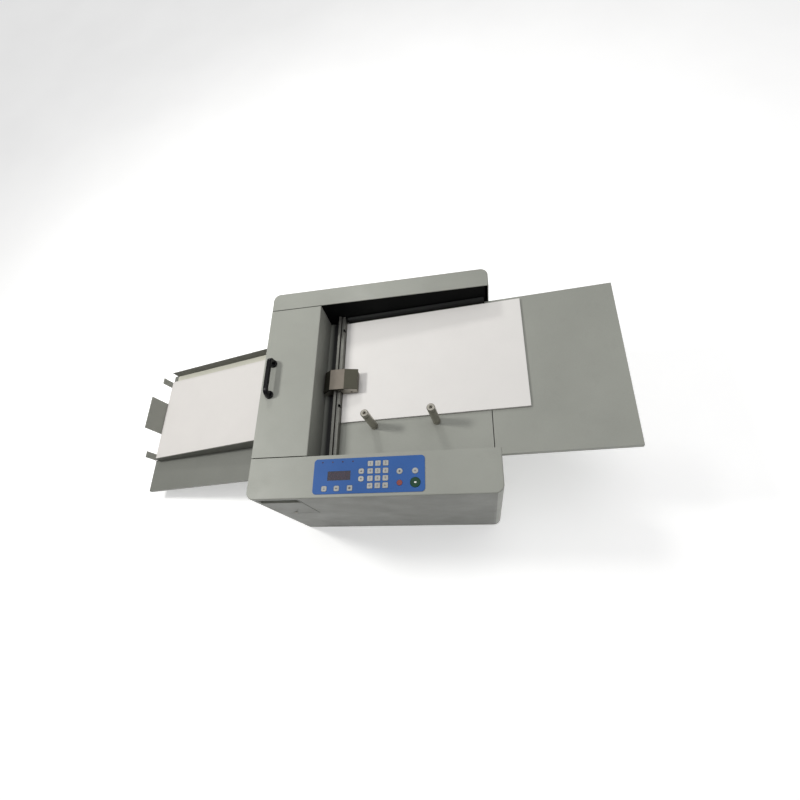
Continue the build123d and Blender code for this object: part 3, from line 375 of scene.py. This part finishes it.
# Painted shade on the feed table: grey fading to flat black over 12 mm from the cover's edge, black up
# to the gate.
COVER_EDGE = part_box("head_cover")[1][0]
THROAT_SHADE_FADE = (COVER_EDGE, COVER_EDGE + 12 * MM)
GATE_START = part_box("gate_plate")[0][0]
ALONG_Y = (1800.0, 60.0, 1800.0)
ALONG_POST = (200.0, 200.0, 2600.0)
ACROSS_HOOD = (300.0, 2600.0, 300.0)
ALONG_BLOCK = (900.0, 200.0, 900.0)
COATS = {
    "painted_grey": powder_coat("grey_powder_coat", GREY),
    "table_grey": painted_shade_between("table_painted_shade_coat", GREY, THROAT_SHADE_FADE, GATE_START),
    # Painted shade: the upright fronts of the console and service panel get the body grey at 0.56 of
    # its brightness, for the dimmer light on them.
    "front_painted_shade": powder_coat("front_powder_coat", scaled(GREY, 0.56)),
    # Painted shade: the delivery tray carries the body grey at 0.61 of its brightness, for the dimmer
    # light on it.
    "tray_grey": powder_coat("tray_powder_coat", scaled(GREY, 0.61)),
    # Painted light: the rear rail's flat foot is painted light beige for the light falling on it and
    # thrown on it by the paper, against the dark paint of its wall.
    "rail_foot_painted_light": powder_coat("rail_foot_coat", (0.66, 0.65, 0.56)),
    "painted_dark": powder_coat("dark_powder_coat", (0.15, 0.152, 0.132), 0.55),
    "fence_black": powder_coat("fence_paint", (0.018, 0.019, 0.019), 0.7, 0.2),
    "frame_black": powder_coat("black_paint", (0.004, 0.0045, 0.0045), 0.75, 0.08),
    "stainless": brushed_metal("stainless", (0.225, 0.20, 0.17), ACROSS_HOOD, 0.42),
    # Painted shade: a darker copy of the stainless for the hood's sloping legs, which turn away from
    # the light.
    "stainless_painted_shade": brushed_metal("stainless_painted_shade", (0.09, 0.087, 0.068), ACROSS_HOOD, 0.5),
    "turned_steel": brushed_metal("turned_steel", (0.42, 0.40, 0.35), ALONG_POST, 0.36),
    "bar_steel": brushed_metal("ground_bar", (0.235, 0.235, 0.215), ALONG_Y, 0.5, 0.15, 0.1),
    "block_steel": brushed_metal("block_steel", (0.24, 0.225, 0.185), ALONG_BLOCK, 0.5, 0.2, 0.1),
    "cast": brushed_metal("cast_aluminium", (0.5, 0.5, 0.5), (700.0, 700.0, 700.0), 0.5, 0.15, 0.1),
    "rubber": moulded("ground_rubber", (0.03, 0.03, 0.031), 0.65, 1500.0, 0.0001),
    "foot_rubber": moulded("foot_rubber", (0.018, 0.018, 0.018), 0.7),
    "black_plastic": moulded("black_plastic", (0.004, 0.004, 0.005), 0.30, shine=0.25),
    "white_key": moulded("white_key", (0.36, 0.36, 0.345), 0.42, 1200.0, 0.00004),
    "grey_key": moulded("grey_key", (0.34, 0.35, 0.35), 0.42, 1200.0, 0.00004),
    "red_key": moulded("red_key", (0.26, 0.045, 0.038), 0.42, 1200.0, 0.00004),
    "green_key": moulded("green_key", (0.002, 0.045, 0.018), 0.45, 1200.0, 0.00004, 0.3),
    "board": moulded("circuit_board", (0.012, 0.12, 0.04), 0.4, 300.0, 0.00006),
    "ink": moulded("legend_ink", (0.10, 0.085, 0.075), 0.5),
    "white_ink": moulded("white_ink", (0.78, 0.78, 0.76), 0.5),
    "film": printed_film("blue_film", (0.020, 0.095, 0.320)),
    "lens": smoked_lens("smoked_lens"),
    "segment": glowing("display_segment", (0.042, 0.008, 0.024), 0.1),
    "lamp": moulded("indicator_lamp", (0.05, 0.012, 0.02), 0.25),
    "paper": paper("feed_paper", (0.81, 0.79, 0.77)),
    "tray_paper": paper("tray_paper", (0.73, 0.705, 0.685)),
    "brass": brushed_metal("contact_brass", (0.62, 0.45, 0.2), (800.0, 800.0, 800.0), 0.3),
}


def coat(node, *names):
    """Gives a CAD node its materials, the first one all over."""
    mesh = frame["nodes"][node].data
    mesh.materials.clear()
    for name in names:
        mesh.materials.append(COATS[name])
    for face in mesh.polygons:
        face.material_index = 0
    return mesh


def coat_where(node, base, other, test):
    """Two materials on one node: other on the faces whose centre passes the test."""
    mesh = coat(node, base, other)
    for face in mesh.polygons:
        if test(face.center):
            face.material_index = 1


def soften(node, width=0.0005, segments=2):
    """Rounds a CAD node's sharp edges, so that they catch the light."""
    piece = frame["nodes"][node]
    weld = piece.modifiers.new("weld", "WELD")
    weld.merge_threshold = 0.00001
    bevel = piece.modifiers.new("edges", "BEVEL")
    bevel.width = width
    bevel.segments = segments
    bevel.limit_method = "ANGLE"
    bevel.angle_limit = math.radians(40)
    bevel.use_clamp_overlap = True
    bevel.harden_normals = False


def axis_of(node):
    """X and Z of a roller's axis, from its box."""
    low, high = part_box(node)
    return (low[0] + high[0]) / 2, (low[2] + high[2]) / 2


def faces_front(centre):
    """Test for faces of the upright front of the console, below its rounded top edge."""
    return centre.y < body_low[1] + 1 * MM and centre.z < body_high[2] - 1.5 * MM


def near_axis(node, radius):
    """Test for faces within a radius of a roller's axis."""
    x, z = axis_of(node)
    return lambda centre: math.hypot(centre.x - x, centre.z - z) < radius


PLAIN_COATS = {
    "painted_grey": ("base_pan", "rear_casing", "table_extension", "head_cover", "end_stop"),
    "tray_grey": ("delivery_tray",),
    "table_grey": ("feed_table",),
    "painted_dark": ("tray_rail_front",),
    "fence_black": ("rear_fence",),
    "frame_black": ("front_frame", "rear_frame"),
    "bar_steel": ("feed_bar",),
    "turned_steel": (
        "guide_post_left", "guide_post_right", "pivot_pins", "casing_screws", "imprint_drum",
    ),
    "cast": ("drive_motor",),
    "rubber": ("timing_belt",),
    "foot_rubber": ("rubber_feet",),
    "black_plastic": ("cover_handle", "power_switch"),
    "film": ("control_overlay",),
    "lens": ("display_window",),
}
ROLLER_SHAFTS = {
    "feed_roller": 9.5 * MM, "transport_roller": 9.5 * MM, "impression_roller": 9.5 * MM,
    "pressure_roller": 4.5 * MM,
}
PULLEY_SHAFT = 6 * MM
RAIL_WALL = 4 * MM
LAMP_DEPTH = 4.5 * MM
EDGES = {
    "base_pan": 0.0006, "console_shell": 0.0006, "rear_casing": 0.0006, "service_panel": 0.0005,
    "feed_table": 0.0007, "table_extension": 0.0007, "head_cover": 0.0006, "delivery_tray": 0.0006,
    "end_stop": 0.0006, "tray_rail_front": 0.0006, "tray_rail_rear": 0.0006, "feed_bar": 0.0012,
    "gate_plate": 0.0006, "separator_hood": 0.0005, "separator_block": 0.0006, "power_inlet": 0.0004,
    "power_switch": 0.0006, "drive_motor": 0.0008, "rear_fence": 0.0004, "control_overlay": 0.0002,
}
NOTCH_PLACES = (146.2 * MM, 358.2 * MM)
NOTCH_DEPTH = 3.7 * MM
NOTCH_HEIGHT = 9.1 * MM
NOTCH_HALF_WIDTH = 3.6 * MM
FACE_MARGIN = 0.1 * MM


def in_notch(centre):
    """Test for the faces inside the two notches in the gate's top edge, which are painted black as
    painted shade.
    """
    low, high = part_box("gate_plate")
    across = min(abs(centre.y - low[1] - place) for place in NOTCH_PLACES)
    behind = high[0] - centre.x
    below = high[2] - centre.z
    return (
        across < NOTCH_HALF_WIDTH and FACE_MARGIN < behind < NOTCH_DEPTH
        and 2 * FACE_MARGIN < below < NOTCH_HEIGHT
    )


BLADE_REACH = 8.5 * MM
BLADE_TOP = 22 * MM
BLADE_DEPTHS = (4 * MM, 16.5 * MM)


def on_blades(centre):
    """Test for the faces of the inlet's three contacts."""
    low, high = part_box("power_inlet")
    beside = abs(centre.x - (low[0] + high[0]) / 2)
    depth = high[1] - centre.y
    return (
        beside < BLADE_REACH and centre.z < low[2] + BLADE_TOP
        and BLADE_DEPTHS[0] < depth < BLADE_DEPTHS[1]
    )


COLOURED_KEYS = {"key_stop": "red_key", "key_start": "green_key", "key_feed": "grey_key"}


def coat_parts_of_nodes():
    """Nodes that have a second material on some of their faces."""
    # The upright fronts of the console and the service panel get the darker grey: painted shade.
    for node in ("console_shell", "service_panel"):
        coat_where(node, "painted_grey", "front_painted_shade", faces_front)
    # The rear rail's foot gets the light beige: painted light.
    wall_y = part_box("tray_rail_rear")[1][1] - RAIL_WALL
    coat_where("tray_rail_rear", "painted_dark", "rail_foot_painted_light", lambda c: c.y < wall_y)
    # Only the hood's top face gets the plain stainless; its legs get the darker copy as painted shade.
    hood_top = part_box("separator_hood")[1][2] - FACE_MARGIN
    coat_where("separator_hood", "stainless_painted_shade", "stainless", lambda c: c.z > hood_top)
    block_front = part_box("separator_block")[0][1] + FACE_MARGIN
    coat_where("separator_block", "block_steel", "turned_steel", lambda c: c.y < block_front)
    # The faces inside the gate's notches are painted black: painted shade in the notches.
    coat_where("gate_plate", "bar_steel", "black_plastic", in_notch)
    for node, radius in ROLLER_SHAFTS.items():
        coat_where(node, "rubber", "turned_steel", near_axis(node, radius))
    coat_where("motor_pulley", "cast", "turned_steel", near_axis("motor_pulley", PULLEY_SHAFT))
    coat_where("power_inlet", "black_plastic", "brass", on_blades)
    film_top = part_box("control_overlay")[1][2]
    coat_where("control_board", "board", "lamp", lambda c: c.z > film_top - LAMP_DEPTH)


def coat_cad():
    for name, nodes in PLAIN_COATS.items():
        for node in nodes:
            coat(node, name)
    coat_parts_of_nodes()
    for name in frame["bodies"]:
        if name.startswith("key_"):
            coat(name, COLOURED_KEYS.get(name, "white_key"))
    for node, width in EDGES.items():
        soften(node, width)


# ---- mesh pieces ----
def add_piece(name, mesh, body, slot, *materials):
    piece = bpy.data.objects.new(name, mesh)
    scene.collection.objects.link(piece)
    for material in materials:
        mesh.materials.append(COATS[material])
    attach(piece, body)
    return piece


def from_bmesh(name, shape):
    mesh = bpy.data.meshes.new(name)
    shape.to_mesh(mesh)
    shape.free()
    return mesh


def slope_frame(node, pitch, thickness):
    """Frame of a sheet pile that lies on a slope, with its origin at the low left front corner."""
    low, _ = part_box(node)
    corner = Vector((low[0] + thickness * math.sin(pitch), low[1], low[2]))
    return Matrix.Translation(corner) @ Matrix.Rotation(-pitch, 4, "Y")


SHEET_SHARE = 0.82
SHEET_GRID = (36, 24)
# Thickness, number of sheets, largest shift of one sheet and curl of the top one.
FED_PILE = (4.8 * MM, 20, 0.5 * MM, 0.5 * MM)
DELIVERED_PILE = (2.5 * MM, 8, 1.2 * MM, 2.0 * MM)
CURL_POWER = 6
COCKLE_SHARE = 0.1


def sheet_height(u, v, curl):
    """Lift of the top sheet at a place along its length and width: a curled end and a cockle."""
    lifted_end = (u ** CURL_POWER) * (0.6 + 0.4 * math.sin(3 * v))
    cockle = COCKLE_SHARE * (1 - math.cos(math.tau * u)) * math.sin(math.pi * v)
    return curl * (lifted_end + cockle)


def add_slab(shape, grid, point_at, levels):
    """Closed thin slab over a grid, from its lower level to its upper one."""
    nx, ny = grid
    layers = []
    for level in levels:
        points = [point_at(i / nx, j / ny, level) for i in range(nx + 1) for j in range(ny + 1)]
        layers.append([shape.verts.new(point) for point in points])
    below, above = layers
    stride = ny + 1
    for i in range(nx):
        for j in range(ny):
            a, b = i * stride + j, (i + 1) * stride + j
            shape.faces.new([above[k] for k in (a, b, b + 1, a + 1)])
            shape.faces.new([below[k] for k in (a, a + 1, b + 1, b)])
    ring = [(i, 0) for i in range(nx)] + [(nx, j) for j in range(ny)]
    ring += [(i, ny) for i in range(nx, 0, -1)] + [(0, j) for j in range(ny, 0, -1)]
    for (i1, j1), (i2, j2) in zip(ring, ring[1:] + ring[:1]):
        a, b = i1 * stride + j1, i2 * stride + j2
        shape.faces.new([below[a], below[b], above[b], above[a]])


def sheet_pile(name, node, pitch, pile_shape, material):
    """A pile of separate sheets, each a thin slab a little out of line with the next."""
    random.seed(name)
    thickness, count, jitter, curl = pile_shape
    shape = bmesh.new()
    place = slope_frame(node, pitch, thickness)
    sheet = thickness / count
    for index in range(count):
        shift = Vector((random.uniform(0, jitter), random.uniform(-jitter, jitter), 0))
        top_sheet = index == count - 1

        def point_at(u, v, level):
            lift = level + (sheet_height(u, v, curl) if top_sheet else 0)
            return place @ (Vector((u * SHEET_LENGTH, v * SHEET_WIDTH, lift)) + shift)

        levels = (index * sheet, (index + SHEET_SHARE) * sheet)
        add_slab(shape, SHEET_GRID if top_sheet else (1, 1), point_at, levels)
    pile = add_piece(name, from_bmesh(name, shape), node, "paper_white", material)
    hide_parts(node)


def top_of(node):
    low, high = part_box(node)
    return (low[0] + high[0]) / 2, (low[1] + high[1]) / 2, high[2]


def flat_print(name, outlines, centre, body, slot, material, thickness=PRINT_THICKNESS):
    """Thin raised print: closed outlines in millimetres round a centre."""
    shape = bmesh.new()
    x, y, z = centre
    for outline in outlines:
        rings = []
        for level in (-thickness / 2, thickness):
            points = [(x + px * MM, y + py * MM, z + level) for px, py in outline]
            rings.append([shape.verts.new(point) for point in points])
        shape.faces.new(rings[1])
        shape.faces.new(list(reversed(rings[0])))
        count = len(outline)
        for i in range(count):
            j = (i + 1) % count
            shape.faces.new([rings[0][i], rings[0][j], rings[1][j], rings[1][i]])
    bmesh.ops.recalc_face_normals(shape, faces=shape.faces)
    return add_piece(name, from_bmesh(name, shape), body, slot, material)


def bar_outline(cx, cy, width, height):
    w, h = width / 2, height / 2
    return [(cx - w, cy - h), (cx + w, cy - h), (cx + w, cy + h), (cx - w, cy + h)]


def round_outline(cx, cy, radius, sides=24):
    steps = [2 * math.pi * index / sides for index in range(sides)]
    return [(cx + radius * math.cos(a), cy + radius * math.sin(a)) for a in steps]


def digit_mesh(name, text, size, centre):
    """A printed numeral as a thin mesh."""
    curve = bpy.data.curves.new(name + "_outline", "FONT")
    curve.body = text
    curve.size = size
    curve.align_x = "CENTER"
    curve.align_y = "CENTER"
    curve.extrude = PRINT_THICKNESS
    holder = bpy.data.objects.new(name + "_outline", curve)
    scene.collection.objects.link(holder)
    bpy.context.view_layer.update()
    mesh = bpy.data.meshes.new_from_object(holder)
    bpy.data.objects.remove(holder)
    mesh.name = name
    mesh.transform(Matrix.Translation(centre))
    return mesh


# Outlines in millimetres round the key's middle.
KEY_SYMBOLS = {
    "key_clear": [
        bar_outline(0, 0, 4.6, 1.0), bar_outline(0, 1.9, 2.4, 0.8), bar_outline(0, -1.9, 2.4, 0.8),
    ],
    "key_enter": [
        [(-2.6, 0), (-0.6, 2), (-0.6, 0.6), (2.4, 0.6), (2.4, -0.6), (-0.6, -0.6), (-0.6, -2)],
    ],
    "key_up": [[(-2.4, -1.4), (2.4, -1.4), (0, 2.2)]],
    "key_down": [[(-2.4, 1.4), (0, -2.2), (2.4, 1.4)]],
    "key_mode": [bar_outline(0, 1.5, 4.4, 1.0), bar_outline(0, -1.5, 4.4, 1.0)],
    "key_speed": [[(-2.6, -2), (0.0, 0), (-2.6, 2)], [(0.1, -2), (2.7, 0), (0.1, 2)]],
    "key_count": [round_outline(0, 0, 2.5)],
    "key_test": [round_outline(0, 0, 2.1)],
    "key_feed": [bar_outline(0, 0, 0.9, 4.4), bar_outline(0, 0, 4.4, 0.9)],
}
START_SYMBOL = [[(-2.9, 0), (-1.3, 1.7), (1.5, 1.7), (3.1, 0), (1.5, -1.7), (-1.3, -1.7)]]
DIGIT_SIZE = 7.2 * MM


def key_legends():
    """A digit or a plain symbol on every key but the stop key."""
    for digit in "0123456789":
        key = "key_" + digit
        centre = Vector(top_of(key))
        legend = digit_mesh("legend_" + digit, digit, DIGIT_SIZE, centre)
        add_piece("legend_" + digit, legend, key, "key_white", "ink")
    for key, outlines in KEY_SYMBOLS.items():
        slot = "key_grey" if key == "key_feed" else "key_white"
        name = key.replace("key_", "legend_")
        flat_print(name, outlines, top_of(key), key, slot, "ink")
    centre = top_of("key_start")
    flat_print("legend_start", START_SYMBOL, centre, "key_start", "key_green", "white_ink")


SEGMENT_WIDTH = 1.1
LEVEL_SEGMENTS = [(0, 6.0), (0, -6.0)]
UPRIGHT_SEGMENTS = [(-2.9, 3.0), (2.9, 3.0), (-2.9, -3.0), (2.9, -3.0)]
LEVEL_LENGTH = 4.4
UPRIGHT_LENGTH = 4.6
DIGIT_COUNT = 5
DIGIT_PITCH = 9.2
DIGIT_LEAN = 0.12
SEGMENT_THICKNESS = 0.04 * MM


def display_digits():
    """Slanted seven-segment zeros behind the dark window."""
    bars = [bar_outline(x, y, LEVEL_LENGTH, SEGMENT_WIDTH) for x, y in LEVEL_SEGMENTS]
    bars += [bar_outline(x, y, SEGMENT_WIDTH, UPRIGHT_LENGTH) for x, y in UPRIGHT_SEGMENTS]
    outlines = []
    for index in range(DIGIT_COUNT):
        offset = (index - (DIGIT_COUNT - 1) / 2) * DIGIT_PITCH
        for bar in bars:
            outlines.append([(offset + px + py * DIGIT_LEAN, py) for px, py in bar])
    centre = top_of("display_window")
    thickness = SEGMENT_THICKNESS
    flat_print("display_digits", outlines, centre, "root", "display_dark", "segment", thickness)


SCREW_SIDES = 36
SOCKET_SIDE = math.pi / 3
SOCKET_SHARE = 0.48
SOCKET_FLOOR = 0.35
HEAD_PROFILE = [(1.0, 0.0), (1.0, 0.85), (0.9, 1.0), (0.5, 1.0)]


def socket_reach(angle, radius):
    """Distance from the screw's axis to the side of its six-sided socket."""
    flat = math.cos(SOCKET_SIDE / 2) / math.cos((angle % SOCKET_SIDE) - SOCKET_SIDE / 2)
    return radius * SOCKET_SHARE * flat


def socket_screw(name, place, radius, height, body, slot, material):
    """Round head with a six-sided socket, pointing along its place matrix's +Z."""
    shape = bmesh.new()
    angles = [2 * math.pi * index / SCREW_SIDES for index in range(SCREW_SIDES)]
    profile = [([radius * wide] * SCREW_SIDES, height * high) for wide, high in HEAD_PROFILE]
    socket = [socket_reach(angle, radius) for angle in angles]
    profile += [(socket, height), (socket, height * SOCKET_FLOOR)]
    rings = []
    for reaches, level in profile:
        points = [(r * math.cos(a), r * math.sin(a), level) for r, a in zip(reaches, angles)]
        rings.append([shape.verts.new(point) for point in points])
    for lower, upper in zip(rings, rings[1:]):
        for i in range(SCREW_SIDES):
            j = (i + 1) % SCREW_SIDES
            shape.faces.new([lower[i], lower[j], upper[j], upper[i]])
    shape.faces.new(list(reversed(rings[0])))
    shape.faces.new(rings[-1])
    shape.transform(place)
    bmesh.ops.recalc_face_normals(shape, faces=shape.faces)
    return add_piece(name, from_bmesh(name, shape), body, slot, material)


CLAMP_SCREW_X = 65.5 * MM
CLAMP_SCREW_DROP = 19.3 * MM
CLAMP_SCREW_SINK = 7 * MM
CLAMP_SCREW_RADIUS = 2.35 * MM
CLAMP_SCREW_LENGTH = 5 * MM


def separator_screw():
    """Clamping screw in the front end of the separator block."""
    low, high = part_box("separator_block")
    head = Vector((low[0] + CLAMP_SCREW_X, low[1] + CLAMP_SCREW_SINK, high[2] - CLAMP_SCREW_DROP))
    place = Matrix.Translation(head) @ Matrix.Rotation(math.radians(90), 4, "X")
    radius, length = CLAMP_SCREW_RADIUS, CLAMP_SCREW_LENGTH
    socket_screw("separator_screw", place, radius, length, "separator", "bright_steel", "black_plastic")


make_studio()
make_camera()
coat_cad()
sheet_pile("feed_sheets", "feed_stack", TABLE_PITCH, FED_PILE, "paper")
sheet_pile("delivered_sheets", "delivered_stack", TRAY_PITCH, DELIVERED_PILE, "tray_paper")
key_legends()
display_digits()
separator_screw()
